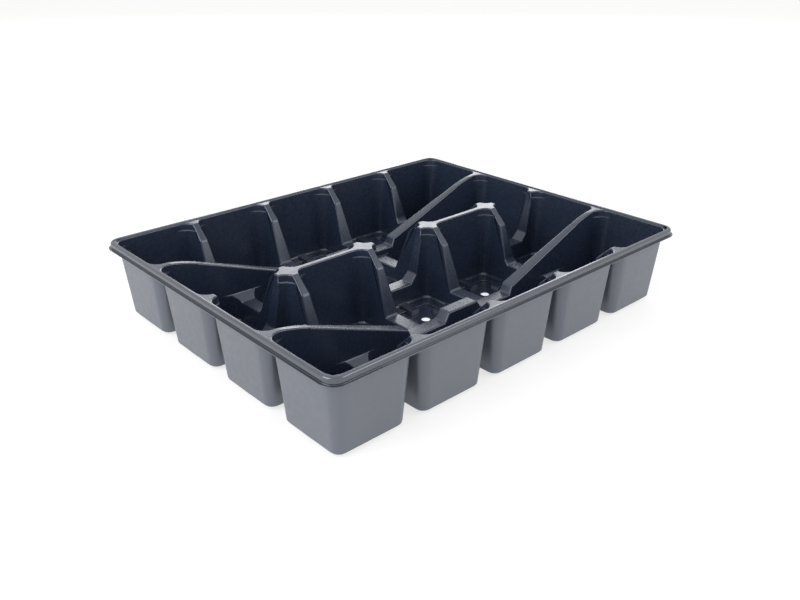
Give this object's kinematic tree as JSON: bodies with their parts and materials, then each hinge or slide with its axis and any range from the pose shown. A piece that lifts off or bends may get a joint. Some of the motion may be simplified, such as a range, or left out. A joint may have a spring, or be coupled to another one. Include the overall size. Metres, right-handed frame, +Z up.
{
  "type": "thermoformed plastic pot carry tray",
  "caption": "Thermoformed plastic carry tray: a grid of tapered square cups for nursery pots, hung from a rolled rim, with dipped webs, star-shaped posts and drain holes.",
  "frame": {"origin": "middle of the base, on the level of the cup pads that stand on the ground", "axes": "+X along the longer side, +Y along the shorter side, +Z up towards the rim"},
  "size_m": [0.373, 0.3, 0.0665],
  "materials": {
    "tray": "glossy black polystyrene sheet, thermoformed, with faint flow marks"
  },
  "bodies": {
    "root": {"tray": "tray"}
  },
  "joints": []
}
